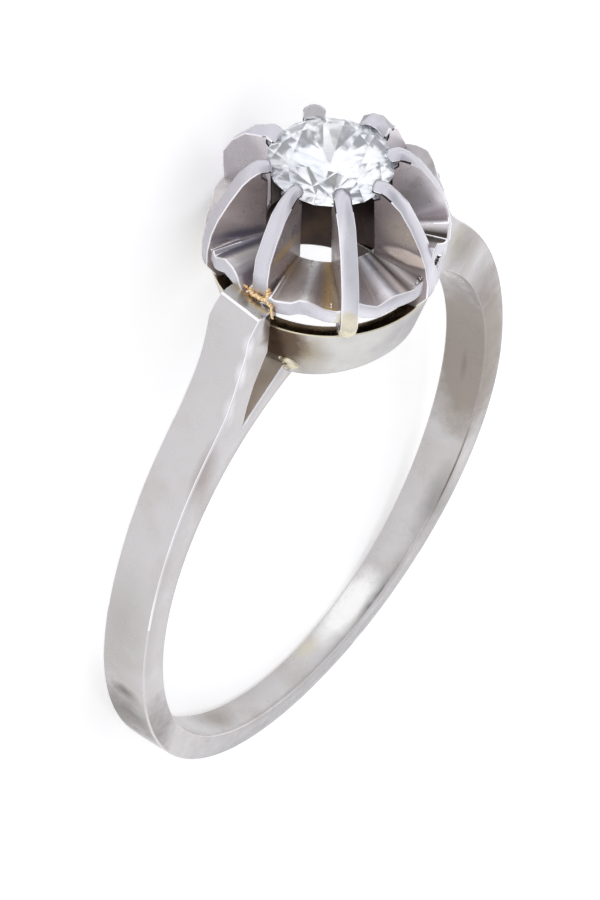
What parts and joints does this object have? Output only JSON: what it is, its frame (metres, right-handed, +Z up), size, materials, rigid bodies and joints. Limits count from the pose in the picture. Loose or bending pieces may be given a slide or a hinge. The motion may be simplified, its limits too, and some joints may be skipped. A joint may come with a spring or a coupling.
{
  "type": "diamond solitaire ring",
  "caption": "White gold finger ring lying on its side, with a split-shoulder band and a round brilliant held by tall claws over a pleated plate on a tapered collar.",
  "frame": {"origin": "middle of the ring's box as it lies on its side, at the level of what it lies on", "axes": "+Z up as it lies, +Y from the bottom of the band toward the stone, +X across the band from one shoulder to the other; the finger hole's axis leans back from +Z by the angle at which the ring rests"},
  "size_m": [0.019, 0.0246, 0.0077],
  "materials": {
    "white_gold": "polished and lightly worn, with fine brushing and yellow solder at the joints",
    "diamond": "clear and faceted"
  },
  "bodies": {
    "root": {"band_and_setting": "white_gold", "diamond": "diamond"}
  },
  "joints": []
}
